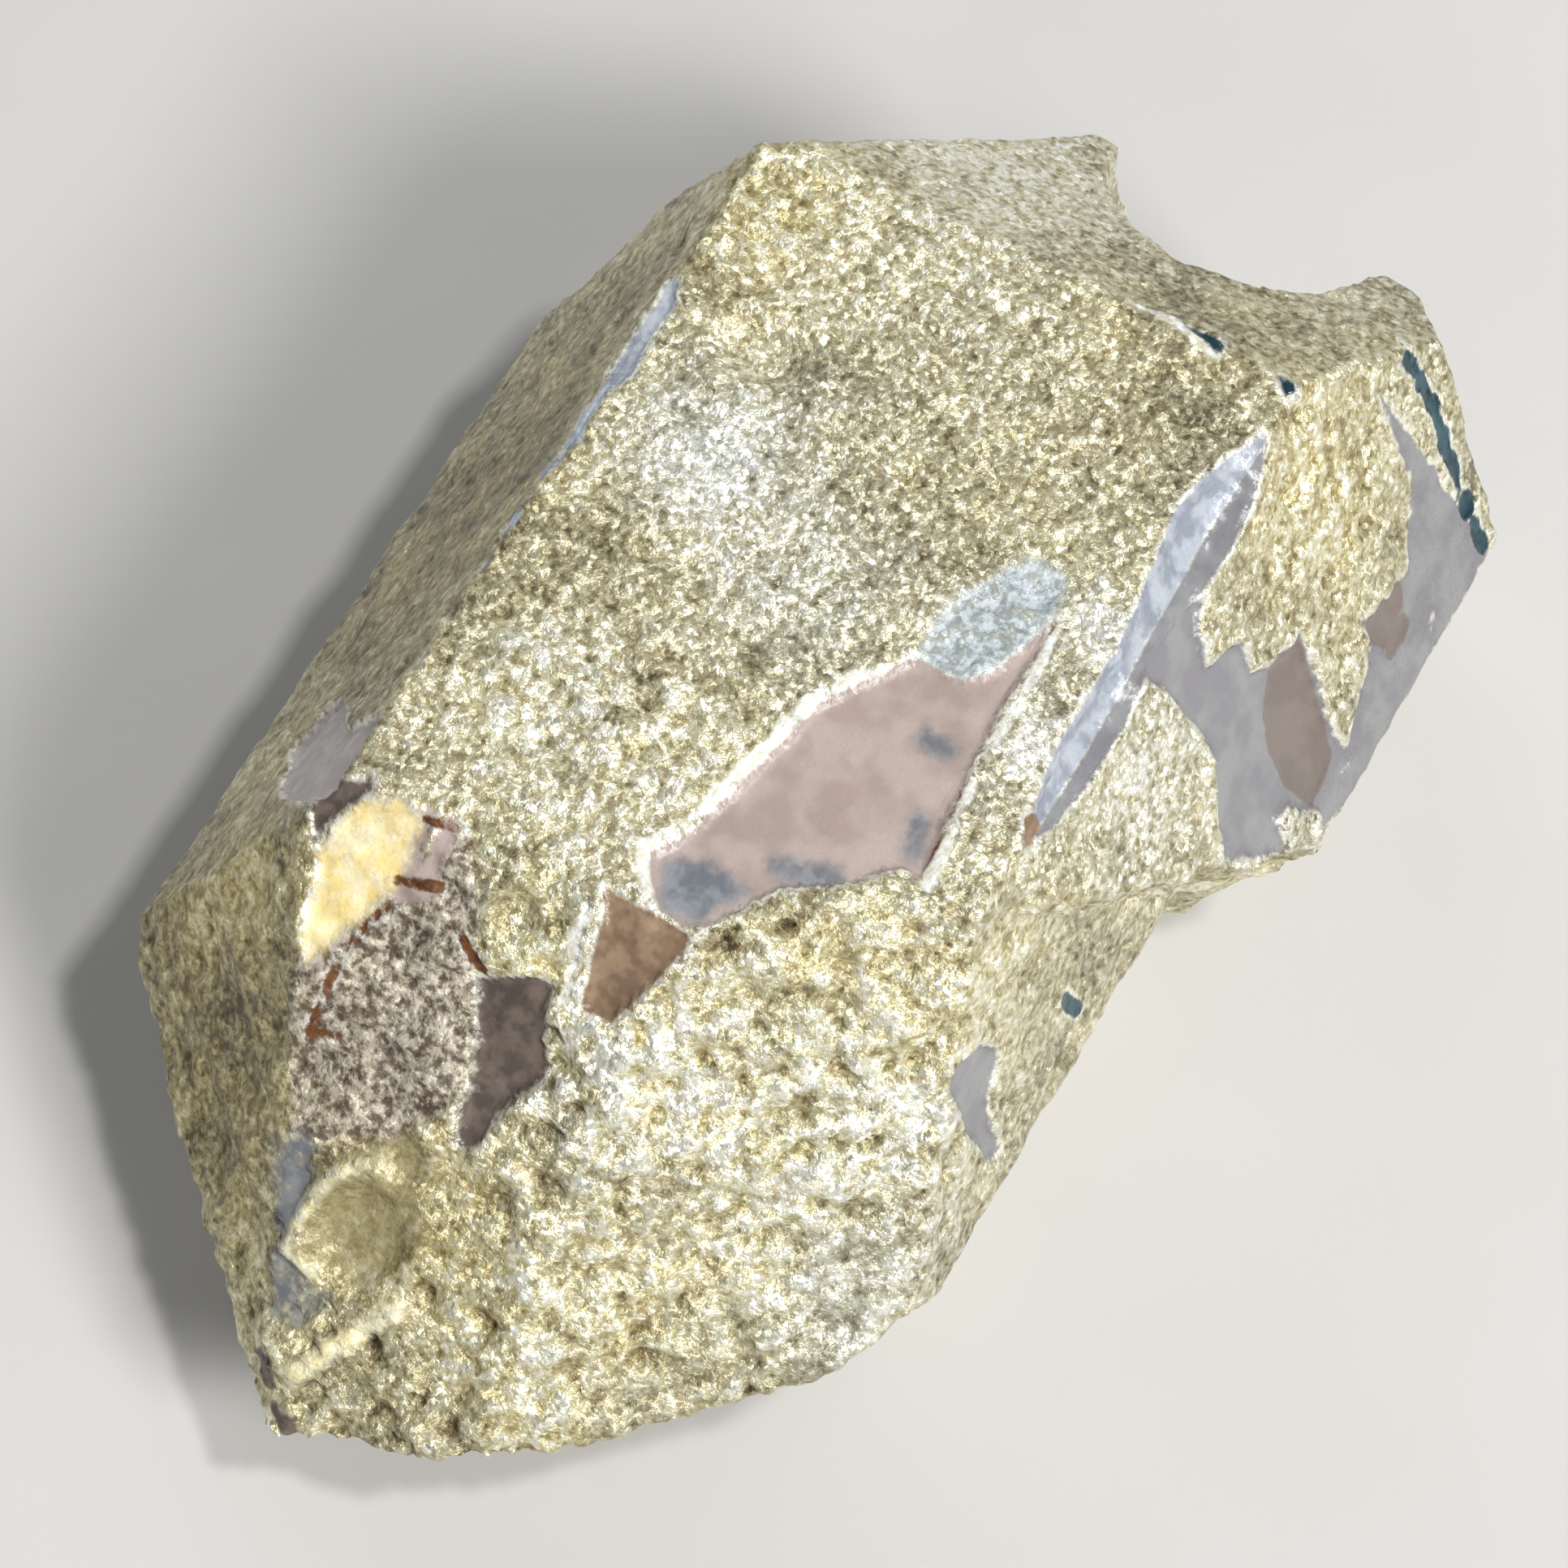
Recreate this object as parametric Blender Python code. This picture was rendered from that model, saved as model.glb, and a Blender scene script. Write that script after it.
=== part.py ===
"""Smoky quartz point: one stubby six-sided crystal that lies on a prism face.

The crystal's long axis runs along X, its tip towards -X and its broken end towards +X.
Each flat face is a plane, given by its turn about the axis (0 is straight up, positive
towards +Y), the lean of its normal from the tip direction, and its distance from the middle
of the crystal. The frame's origin is under the middle of the crystal, where it rests.
"""

from math import cos, radians, sin
from typing import NamedTuple

import bmesh
import bpy
from mathutils import Matrix, Vector, noise

MM = 0.001

# Driving dimensions
THICKNESS = 19.5 * MM
SIDE_DISTANCE = 12.0 * MM
END_REACH = 21.5 * MM
PATCH_DEPTH = 0.25 * MM
NET_STEP = 1.4 * MM
UPRIGHT_NET_STEP = 2.2 * MM
BLANK_SIZE = 90.0 * MM
REST_BAND = 0.02 * MM

AXIS_HEIGHT = THICKNESS / 2


class Face(NamedTuple):
    """A flat face: turn and lean in degrees, distance from the middle in metres."""

    turn: float
    lean: float
    distance: float


# The six sides of the prism
TOP = Face(0, 90, AXIS_HEIGHT)
UNDERSIDE = Face(180, 90, AXIS_HEIGHT)
UPPER_LEFT = Face(60, 90, SIDE_DISTANCE)
LOWER_LEFT = Face(120, 90, SIDE_DISTANCE)
UPPER_RIGHT = Face(-60, 90, SIDE_DISTANCE)
LOWER_RIGHT = Face(-120, 90, SIDE_DISTANCE)
PRISM_FACES = (TOP, UNDERSIDE, UPPER_LEFT, LOWER_LEFT, UPPER_RIGHT, LOWER_RIGHT)

# The slanting tip: a broad face above, a chisel edge to the right
TIP_TOP = Face(-3, 46, 12.5 * MM)
TIP_TOP_RIGHT = Face(-33, 51, 12.0 * MM)
TIP_LEFT = Face(50, 46, 15.5 * MM)
TIP_UNDER = Face(205, 56, 13.3 * MM)
TIP_UNDER_LEFT = Face(120, 52, 17.1 * MM)
TIP_UNDER_RIGHT = Face(-122, 51, 14.9 * MM)
TIP_RIGHT = Face(-113, 69, 13.0 * MM)
TIP_FACES = (TIP_TOP, TIP_TOP_RIGHT, TIP_LEFT, TIP_UNDER, TIP_UNDER_LEFT, TIP_UNDER_RIGHT, TIP_RIGHT)

# The broken end: a slope above and steep breaks around it
END_SLOPE = Face(0, 125, 16.3 * MM)
END_UPPER_LEFT = Face(60, 138, 18.4 * MM)
END_LOWER_LEFT = Face(98, 140, 17.0 * MM)
END_RIGHT = Face(-78, 138, 22.4 * MM)
END_FAR = Face(0, 180, END_REACH)
END_FACES = (END_SLOPE, END_UPPER_LEFT, END_LOWER_LEFT, END_RIGHT, END_FAR)

# The growth step: past the ledge the right side is narrower down to the tip
LEDGE = Face(-114, 49, 5.1 * MM)
STEM_RIGHT = Face(-75, 90, 10.5 * MM)
STEM_LOWER_RIGHT = Face(-115, 90, 10.0 * MM)

# The dip that leaves two knobs at the broken end
DIP_CENTRE = Vector((22.3, -3.4, 15.5)) * MM
DIP_RADII = Vector((4.6, 4.3, 9.0)) * MM

# The long hollow along the upper right ridge
FLUTE_START = Vector((-0.4, -8.5, 19.6)) * MM
FLUTE_END = Vector((12.2, -8.5, 19.6)) * MM
FLUTE_RADIUS = 1.1 * MM
FLUTE_DROP = 0.15 * MM

# Worn places where the crust is gone, each an outline in mm on its face:
# along the crystal towards the broken end, then across the face to its left
TOP_PATCH = ((-7.5, -0.7), (-6.2, 0.1), (-3.6, -0.9), (-0.3, -1.7), (2.2, -3.1), (2.4, -4.8),
             (5.2, -5.9), (1.1, -6.1), (-3.4, -6.6), (-4.4, -5.0), (-5.4, -3.5), (-7.6, -2.2))
RIGHT_PATCH = ((8.1, 2.9), (7.0, 1.2), (8.4, 0.6), (8.4, -0.8), (10.3, -1.3), (9.6, -5.4),
               (7.3, -6.6), (4.3, -3.8), (5.6, -0.8), (5.4, 2.3), (4.3, 4.0), (5.8, 4.7))
LEFT_PATCH = ((-4.8, 1.4), (-6.3, -1.8), (-6.3, -3.9), (-7.7, -4.2), (-8.7, -3.3), (-7.9, 0.8), (-6.2, 2.4))
TIP_TRIANGLE = ((1.0, 1.0), (1.0, -1.6), (-0.5, -1.2), (-2.2, -0.5), (-1.3, 0.6))
TIP_PATCH = ((-2.9, 3.3), (-2.0, 1.3), (-4.5, 0.5), (-7.4, 1.4), (-7.3, 2.0), (-5.2, 2.4))
STEM_PATCH = ((-5.3, 3.1), (-4.6, 1.7), (-5.9, -0.3), (-5.9, -1.9), (-6.8, 0.4), (-6.7, 3.0))
WORN_PLACES = ((TOP, TOP_PATCH), (UPPER_RIGHT, RIGHT_PATCH), (UPPER_LEFT, LEFT_PATCH),
               (TIP_TOP, TIP_TRIANGLE), (TIP_TOP, TIP_PATCH), (STEM_RIGHT, STEM_PATCH))

# Rounded hollows: face, place on it along and across, then the radii along, across and deep, in mm
HOLLOWS = ((TOP, (8.3, 5.0), (1.1, 1.6, 0.4)),
           (TIP_TOP, (-0.7, 2.9), (0.8, 0.8, 0.4)),
           (TIP_TOP, (-11.3, 3.3), (1.7, 1.4, 0.5)))

# Lumps of the crust: height of the relief on the tip and on the sides, and its grain
TIP_LUMP_HEIGHT = 0.30 * MM
SIDE_LUMP_HEIGHT = 0.09 * MM
LUMP_SIZE = 2.2 * MM
LUMP_OCTAVES = 3
TIP_LUMPS_START = 0.2
TIP_LUMPS_FULL = 0.6

# The crust's colour, roughness and metallic value
CRUST_COLOUR = (0.62, 0.57, 0.40, 1.0)
CRUST_ROUGHNESS = 0.5
CRUST_METALLIC = 0.25


def clear_scene() -> None:
    """Remove whatever objects the file opened with."""
    for old in list(bpy.data.objects):
        bpy.data.objects.remove(old, do_unlink=True)


def face_normal(face: Face) -> Vector:
    """Return the outward normal of a face."""
    turn = radians(face.turn)
    lean = radians(face.lean)
    return Vector((-cos(lean), sin(lean) * sin(turn), sin(lean) * cos(turn)))


def face_point(face: Face) -> Vector:
    """Return the point of a face's plane that is nearest to the middle of the crystal."""
    return Vector((0, 0, AXIS_HEIGHT)) + face_normal(face) * face.distance


def face_frame(face: Face) -> Matrix:
    """Return the frame on a face: x along the crystal, y across the face, z outwards."""
    normal = face_normal(face)
    along = (Vector((1, 0, 0)) - normal * normal.x).normalized()
    across = normal.cross(along)
    rotation = Matrix((along, across, normal)).transposed().to_4x4()
    return Matrix.Translation(face_point(face)) @ rotation


def link(name: str, form: bmesh.types.BMesh) -> bpy.types.Object:
    """Turn a bmesh into a named object in the scene."""
    bmesh.ops.recalc_face_normals(form, faces=form.faces)
    mesh = bpy.data.meshes.new(name)
    form.to_mesh(mesh)
    form.free()
    made = bpy.data.objects.new(name, mesh)
    bpy.context.scene.collection.objects.link(made)
    return made


def slice_off(form: bmesh.types.BMesh, point: Vector, normal: Vector) -> None:
    """Cut away everything outside one plane and close the cut."""
    geometry = [*form.verts, *form.edges, *form.faces]
    cut = bmesh.ops.bisect_plane(form, geom=geometry, dist=1e-7, plane_co=point,
                                 plane_no=normal, clear_outer=True)
    rim = [item for item in cut["geom_cut"] if isinstance(item, bmesh.types.BMEdge)]
    if rim:
        bmesh.ops.contextual_create(form, geom=rim)


def cut_blank(name: str, inside: tuple[Face, ...], outside: tuple[Face, ...] = ()) -> bpy.types.Object:
    """Cut a block down to a solid inside some faces and outside others."""
    form = bmesh.new()
    bmesh.ops.create_cube(form, size=BLANK_SIZE)
    for face in inside:
        slice_off(form, face_point(face), face_normal(face))
    for face in outside:
        slice_off(form, face_point(face), -face_normal(face))
    return link(name, form)


def as_cutter(cutter: bpy.types.Object) -> bpy.types.Object:
    """Keep a cutting shape out of the finished model."""
    cutter.hide_render = True
    cutter.display_type = "WIRE"
    return cutter


def cut_away(body: bpy.types.Object, cutter: bpy.types.Object) -> None:
    """Subtract a cutting shape from the body."""
    cut = body.modifiers.new(cutter.name, "BOOLEAN")
    cut.operation = "DIFFERENCE"
    cut.solver = "EXACT"
    cut.object = as_cutter(cutter)


def rounded_cutter(name: str, frame: Matrix, radii: Vector) -> bpy.types.Object:
    """Make a rounded cutting shape with the given radii, centred on a frame."""
    form = bmesh.new()
    bmesh.ops.create_icosphere(form, subdivisions=2, radius=1.0)
    bmesh.ops.transform(form, matrix=frame @ Matrix.Diagonal((*radii, 1.0)), verts=form.verts)
    return link(name, form)


def worn_cutter(name: str, face: Face, outline: tuple[tuple[float, float], ...]) -> bpy.types.Object:
    """Make a shallow cutting shape from an outline on a face."""
    form = bmesh.new()
    corners = [form.verts.new((along * MM, across * MM, -PATCH_DEPTH)) for along, across in outline]
    floor = form.faces.new(corners)
    raised = bmesh.ops.extrude_face_region(form, geom=[floor])
    roof = [item for item in raised["geom"] if isinstance(item, bmesh.types.BMVert)]
    bmesh.ops.translate(form, vec=(0, 0, 8 * PATCH_DEPTH), verts=roof)
    bmesh.ops.transform(form, matrix=face_frame(face), verts=form.verts)
    return link(name, form)


def flute_cutter() -> bpy.types.Object:
    """Make the long pointed shape that hollows the upper right ridge."""
    run = FLUTE_END - FLUTE_START
    middle = (FLUTE_START + FLUTE_END) / 2 - Vector((0, 0, FLUTE_DROP))
    radii = Vector((run.length / 2, FLUTE_RADIUS, FLUTE_RADIUS))
    return rounded_cutter("flute_cutter", Matrix.Translation(middle), radii)


def cut_features(body: bpy.types.Object) -> None:
    """Cut the growth step, the dip, the flute, the worn places and the hollows."""
    cut_away(body, cut_blank("ledge_cutter", (), (LEDGE, STEM_RIGHT)))
    cut_away(body, cut_blank("under_ledge_cutter", (), (LEDGE, STEM_LOWER_RIGHT)))
    cut_away(body, rounded_cutter("dip_cutter", Matrix.Translation(DIP_CENTRE), DIP_RADII))
    cut_away(body, flute_cutter())
    for number, (face, outline) in enumerate(WORN_PLACES, start=1):
        cut_away(body, worn_cutter(f"worn_cutter_{number}", face, outline))
    for number, (face, place, radii) in enumerate(HOLLOWS, start=1):
        centre = face_frame(face) @ Matrix.Translation(Vector((*place, 0)) * MM)
        cut_away(body, rounded_cutter(f"hollow_cutter_{number}", centre, Vector(radii) * MM))


def settled_mesh(body: bpy.types.Object) -> bmesh.types.BMesh:
    """Return the body as its modifiers leave it, and drop the modifiers."""
    depsgraph = bpy.context.evaluated_depsgraph_get()
    form = bmesh.new()
    form.from_object(body, depsgraph)
    body.modifiers.clear()
    return form


def score(form: bmesh.types.BMesh, direction: Vector, step: float) -> None:
    """Score the skin with parallel planes, evenly spaced along a direction."""
    places = [vert.co.dot(direction) for vert in form.verts]
    count = int((max(places) - min(places)) / step)
    for number in range(count):
        place = direction * (min(places) + step * (number + 0.5))
        geometry = [*form.verts, *form.edges, *form.faces]
        bmesh.ops.bisect_plane(form, geom=geometry, dist=1e-6, plane_co=place, plane_no=direction)


def cut_net(form: bmesh.types.BMesh) -> None:
    """Score the skin into a net that is fine enough to follow the lumps."""
    score(form, Vector((1, 0, 0)), NET_STEP)
    score(form, Vector((0, 1, 0)), NET_STEP)
    score(form, Vector((0, 0, 1)), UPRIGHT_NET_STEP)
    bmesh.ops.triangulate(form, faces=form.faces)


def raise_lumps(form: bmesh.types.BMesh) -> None:
    """Give the crust its lumps, high on the tip and low on the sides, and leave the rest face flat."""
    form.normal_update()
    lifts = []
    for vert in form.verts:
        if vert.co.z < REST_BAND:
            continue
        tip_share = (-vert.normal.x - TIP_LUMPS_START) / (TIP_LUMPS_FULL - TIP_LUMPS_START)
        tip_share = min(1.0, max(0.0, tip_share))
        height = SIDE_LUMP_HEIGHT + (TIP_LUMP_HEIGHT - SIDE_LUMP_HEIGHT) * tip_share
        lump = noise.fractal(vert.co / LUMP_SIZE, 1.0, 2.0, LUMP_OCTAVES)
        lifts.append((vert, vert.normal * height * lump))
    for vert, lift in lifts:
        vert.co += lift


def centre_over_origin(form: bmesh.types.BMesh) -> None:
    """Move the crystal sideways until its box is centred over the origin."""
    across = [vert.co.x for vert in form.verts]
    deep = [vert.co.y for vert in form.verts]
    offset = Vector((min(across) + max(across), min(deep) + max(deep), 0)) / 2
    bmesh.ops.translate(form, vec=-offset, verts=form.verts)


def crust_material() -> bpy.types.Material:
    """Make the pale gold crust's material."""
    material = bpy.data.materials.new("golden_crust")
    material.use_nodes = True
    shader = material.node_tree.nodes["Principled BSDF"]
    shader.inputs["Base Color"].default_value = CRUST_COLOUR
    shader.inputs["Roughness"].default_value = CRUST_ROUGHNESS
    shader.inputs["Metallic"].default_value = CRUST_METALLIC
    return material


def build_crystal() -> bpy.types.Object:
    """Build the whole crystal as one closed solid."""
    body = cut_blank("quartz_point", PRISM_FACES + TIP_FACES + END_FACES)
    cut_features(body)
    form = settled_mesh(body)
    cut_net(form)
    raise_lumps(form)
    centre_over_origin(form)
    form.to_mesh(body.data)
    form.free()
    body.data.materials.clear()
    body.data.materials.append(crust_material())
    return body


clear_scene()
build_crystal()
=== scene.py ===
"""Looks of a stubby smoky quartz point in a pale gold crust.

The crystal is cut from its flat faces once more and given a fine, even skin. The crust is then
raised in real relief, and the places where it has worn away are sunk to the smooth quartz below.
Lengths are in metres, and names that end in _mm, and places on a face, are in millimetres.
"""

import logging
from dataclasses import dataclass
from enum import Enum
from math import cos, pi, radians, sin

import bmesh
import bpy
import numpy as np
from mathutils import Matrix, Vector, noise


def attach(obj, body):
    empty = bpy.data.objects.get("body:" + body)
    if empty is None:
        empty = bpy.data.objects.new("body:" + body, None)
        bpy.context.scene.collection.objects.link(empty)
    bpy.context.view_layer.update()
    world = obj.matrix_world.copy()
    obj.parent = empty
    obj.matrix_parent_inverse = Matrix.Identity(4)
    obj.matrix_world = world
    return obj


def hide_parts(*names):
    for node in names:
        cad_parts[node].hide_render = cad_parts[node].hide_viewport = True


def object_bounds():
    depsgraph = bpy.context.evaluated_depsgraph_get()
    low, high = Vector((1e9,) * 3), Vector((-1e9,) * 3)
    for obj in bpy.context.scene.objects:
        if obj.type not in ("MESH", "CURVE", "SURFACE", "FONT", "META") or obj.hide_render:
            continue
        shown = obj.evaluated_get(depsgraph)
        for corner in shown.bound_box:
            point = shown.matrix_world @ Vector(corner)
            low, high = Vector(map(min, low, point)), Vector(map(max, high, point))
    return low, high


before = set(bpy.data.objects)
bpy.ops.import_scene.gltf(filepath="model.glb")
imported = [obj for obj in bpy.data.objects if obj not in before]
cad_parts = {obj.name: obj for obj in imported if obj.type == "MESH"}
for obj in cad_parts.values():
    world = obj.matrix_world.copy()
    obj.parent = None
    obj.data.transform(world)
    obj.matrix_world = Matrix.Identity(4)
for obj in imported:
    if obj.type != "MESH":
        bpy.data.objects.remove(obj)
cad_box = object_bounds()

MM = 0.001
PHOTO_SIZE = 1932
LOG = logging.getLogger("quartz_point")

Places = tuple[tuple[float, float], ...]
Socket = bpy.types.NodeSocket
Input = Socket | float | tuple[float, ...]


@dataclass(frozen=True)
class Plane:
    """A flat face: turn about the crystal and lean from its tip in degrees, distance in metres."""

    turn: float
    lean: float
    distance: float

    def normal(self) -> Vector:
        """Return the outward normal."""
        turn = radians(self.turn)
        lean = radians(self.lean)
        return Vector((-cos(lean), sin(lean) * sin(turn), sin(lean) * cos(turn)))

    def point(self) -> Vector:
        """Return the point of the plane that is nearest to the middle of the crystal."""
        return Vector((0, 0, AXIS_HEIGHT)) + self.normal() * self.distance

    def frame(self) -> Matrix:
        """Return the frame on the face: x along the crystal, y across the face, z outwards."""
        normal = self.normal()
        along = (Vector((1, 0, 0)) - normal * normal.x).normalized()
        rotation = Matrix((along, normal.cross(along), normal)).transposed().to_4x4()
        return Matrix.Translation(self.point()) @ rotation

    def lay_out(self, places: np.ndarray) -> np.ndarray:
        """Give points their places on the face.

        Args:
            places: Points in mm, one a row.

        Returns:
            For each point its place along and across the face and its height above it, in mm.
        """
        frame_on_face = np.array(self.frame())
        origin = frame_on_face[:3, 3] / MM
        return (places - origin) @ frame_on_face[:3, :3]


THICKNESS = 19.5 * MM
AXIS_HEIGHT = THICKNESS / 2


class Side(Enum):
    """The crystal's flat faces: the prism, the slanting tip, the broken end and the growth step."""

    TOP = Plane(0, 90, AXIS_HEIGHT)
    UNDERSIDE = Plane(180, 90, AXIS_HEIGHT)
    UPPER_LEFT = Plane(60, 90, 12.0 * MM)
    LOWER_LEFT = Plane(120, 90, 12.0 * MM)
    UPPER_RIGHT = Plane(-60, 90, 12.0 * MM)
    LOWER_RIGHT = Plane(-120, 90, 12.0 * MM)
    TIP_TOP = Plane(-3, 46, 12.5 * MM)
    TIP_TOP_RIGHT = Plane(-33, 51, 12.0 * MM)
    TIP_LEFT = Plane(50, 46, 15.5 * MM)
    TIP_UNDER = Plane(205, 56, 13.3 * MM)
    TIP_UNDER_LEFT = Plane(120, 52, 17.1 * MM)
    TIP_UNDER_RIGHT = Plane(-122, 51, 14.9 * MM)
    TIP_RIGHT = Plane(-113, 69, 13.0 * MM)
    END_SLOPE = Plane(0, 125, 16.3 * MM)
    END_UPPER_LEFT = Plane(60, 138, 18.4 * MM)
    END_LOWER_LEFT = Plane(98, 140, 17.0 * MM)
    END_RIGHT = Plane(-78, 138, 22.4 * MM)
    END_FAR = Plane(0, 180, 21.5 * MM)
    LEDGE = Plane(-114, 49, 5.1 * MM)
    STEM_RIGHT = Plane(-75, 90, 10.5 * MM)
    STEM_LOWER_RIGHT = Plane(-115, 90, 10.0 * MM)


STEP_SIDES = (Side.LEDGE, Side.STEM_RIGHT, Side.STEM_LOWER_RIGHT)


@dataclass(frozen=True)
class Tint:
    """How a kind of marking looks, and how its edge breaks up."""

    colour: str
    mottle: str
    mottle_mm: float = 1.0
    roughness: float = 0.38
    metallic: float = 0.0
    grain: float = 0.06
    clear: float = 0.0
    soft_mm: float = 0.05
    ragged_mm: float = 0.06


class Marking(Enum):
    """The kinds of marking, in the order in which they lie over the crust."""

    CREAM = Tint("#E4D7A4", "#F3ECCB", 0.7, 0.42, 0.05, 0.5, soft_mm=0.18, ragged_mm=0.25)
    OLIVE = Tint("#85794E", "#A0956A", 0.7, 0.4, 0.1, 0.4, soft_mm=0.45, ragged_mm=0.3)
    VEIL = Tint("#C3CCCF", "#7E8A90", 0.3, 0.4, 0.0, 0.5, soft_mm=0.25, ragged_mm=0.35)
    FROST = Tint("#5F4F43", "#C4B9AE", 0.3, 0.42, 0.0, 0.8, soft_mm=0.4, ragged_mm=0.4)
    SMOKE = Tint("#8C8C8C", "#7F7D80", 1.5, 0.3)
    LENS = Tint("#7B7069", "#726760", 1.5, 0.28)
    LILAC = Tint("#AEB4BC", "#8E949F", 0.7, 0.32, grain=0.2)
    PEARL = Tint("#C6BEBC", "#B3AAA8", 0.7, 0.34, grain=0.1)
    MAUVE = Tint("#AF9F97", "#A08F87", 1.5, 0.33)
    SLATE = Tint("#696D73", "#83878C", 0.7, 0.35, soft_mm=0.3, ragged_mm=0.3)
    PEACH = Tint("#F5DB92", "#FAEABB", 0.7, 0.5, soft_mm=0.22, ragged_mm=0.3)
    UMBER = Tint("#6A5D53", "#504640", 0.7, 0.32, soft_mm=0.1, ragged_mm=0.12)
    RUSSET = Tint("#967E66", "#7B634E", 0.7, 0.32, soft_mm=0.05, ragged_mm=0.05)
    WINDOW = Tint("#1E4450", "#3C6A76", 0.7, 0.12, clear=0.5, soft_mm=0.06, ragged_mm=0.06)
    CRACK = Tint("#6E4016", "#4A2A10", 0.3, 0.5, grain=0.3, soft_mm=0.05, ragged_mm=0.12)
    # Painted highlight: the near-white lit edge of the crust where it breaks off round a bare patch.
    RIM_HIGHLIGHT = Tint("#EDEEEA", "#D9D5BE", 0.3, 0.34, 0.0, 0.3, soft_mm=0.07, ragged_mm=0.14)


@dataclass(frozen=True)
class Mark:
    """One marking on a face: a filled outline, or a line where it has a width."""

    marking: Marking
    side: Side
    outline: Places
    width_mm: float = 0.0
    depth_mm: float = 0.0
    edge_mm: float = 0.12
    ragged_mm: float = 0.1
    reach_mm: float = 0.15
    smooth: bool = True

    def distance(self, places: np.ndarray) -> np.ndarray:
        """Measure how far points are from the marking.

        Args:
            places: Points in mm, one a row.

        Returns:
            Each point's distance from the marking's edge in mm, negative inside it.
        """
        laid = self.side.value.lay_out(places)
        closed = self.width_mm == 0
        flat = outline_distance(laid[:, :2], self.outline, closed)
        if not closed:
            flat -= self.width_mm / 2
        return np.maximum(flat, np.abs(laid[:, 2]) - self.reach_mm)


@dataclass(frozen=True)
class Bowl:
    """A rounded hollow on a face, with the height of the lip round it."""

    side: Side
    along_mm: float
    across_mm: float
    long_mm: float
    wide_mm: float
    depth_mm: float
    lip_mm: float = 0.0
    lip_width: float = 0.3

    def rings(self, places: np.ndarray) -> np.ndarray:
        """Measure how many radii from the hollow's middle points are.

        Args:
            places: Points in mm, one a row.

        Returns:
            0 in the middle, 1 on the edge, and far above 1 off the face.
        """
        laid = self.side.value.lay_out(places)
        along = (laid[:, 0] - self.along_mm) / self.long_mm
        across = (laid[:, 1] - self.across_mm) / self.wide_mm
        off_face = np.maximum(np.abs(laid[:, 2]) - 1.0, 0.0)
        return np.hypot(np.hypot(along, across), off_face * 10)


@dataclass(frozen=True)
class Bloom:
    """A soft zone of the crust: how coarse and how warm it is, and how light it is painted, from 0 to 1; the
    lightness is partly the crust's own tone and partly painted light and shade.
    """

    side: Side
    along_mm: float
    across_mm: float
    radius_mm: float
    coarse: float
    light: float
    warm: float

    def share(self, places: np.ndarray) -> np.ndarray:
        """Return the zone's share at points in mm: 1 in its middle, fading outwards."""
        spot = self.side.value.frame() @ Vector((self.along_mm * MM, self.across_mm * MM, 0))
        away = np.linalg.norm(places - np.array(spot) / MM, axis=1)
        return np.exp(-((away / self.radius_mm) ** 2))


def outline_distance(places: np.ndarray, outline: Places, closed: bool) -> np.ndarray:
    """Measure how far places are from an outline or a line.

    Args:
        places: Places on the face, one a row.
        outline: The corners.
        closed: Whether the outline is filled, so that distances inside it are negative.

    Returns:
        One distance for each place.
    """
    corners = np.array(outline, dtype=float)
    ends = np.roll(corners, -1, axis=0) if closed else corners[1:]
    nearest = np.full(len(places), np.inf)
    inside = np.zeros(len(places), dtype=bool)
    for start, end in zip(corners, ends):
        run = end - start
        gone = places - start
        share = np.clip(gone @ run / (run @ run), 0.0, 1.0)
        nearest = np.minimum(nearest, np.linalg.norm(gone - share[:, None] * run, axis=1))
        crosses = (start[1] > places[:, 1]) != (end[1] > places[:, 1])
        if closed and run[1] != 0:
            inside ^= crosses & (places[:, 0] < start[0] + run[0] * gone[:, 1] / run[1])
    return np.where(inside, -nearest, nearest)


def ease(values: np.ndarray, start: float, end: float) -> np.ndarray:
    """Return values eased from 0 at start to 1 at end."""
    share = np.clip((values - start) / (end - start), 0.0, 1.0)
    return share * share * (3 - 2 * share)


def cloud(places: np.ndarray, size_mm: float, octaves: int, offset: float = 0.0) -> np.ndarray:
    """Make soft noise.

    Args:
        places: Points in mm, one a row.
        size_mm: Size of the largest lumps.
        octaves: How many times finer lumps are added.
        offset: Shifts the noise, so that two clouds differ.

    Returns:
        One value for each point, mostly between -1 and 1.
    """
    shift = Vector((offset, offset, offset))
    spots = (Vector(place) / size_mm + shift for place in places)
    return np.array([noise.fractal(spot, 1.0, 2.0, octaves) for spot in spots])


def cells(places: np.ndarray, size_mm: float, offset: float = 0.0) -> tuple[np.ndarray, ...]:
    """Scatter cells.

    Args:
        places: Points in mm, one a row.
        size_mm: Distance between neighbouring cells.
        offset: Shifts the cells.

    Returns:
        For each point its distance from the nearest and the second middle, in cell sizes, and a
        steady random number from 0 to 1 for its cell.
    """
    shift = Vector((offset, offset, offset))
    rows = []
    for place in places:
        distances, middles = noise.voronoi(Vector(place) / size_mm + shift)
        rows.append((distances[0], distances[1], noise.cell(middles[0] * 7.3)))
    table = np.array(rows)
    return table[:, 0], table[:, 1], table[:, 2]


def linear(colour: str) -> tuple[float, float, float, float]:
    """Turn a written colour such as #C8B090 into the linear values that shaders use."""
    steps = [int(colour[place:place + 2], 16) / 255 for place in (1, 3, 5)]
    values = [step / 12.92 if step <= 0.04045 else ((step + 0.055) / 1.055) ** 2.4 for step in steps]
    return (values[0], values[1], values[2], 1.0)


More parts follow.
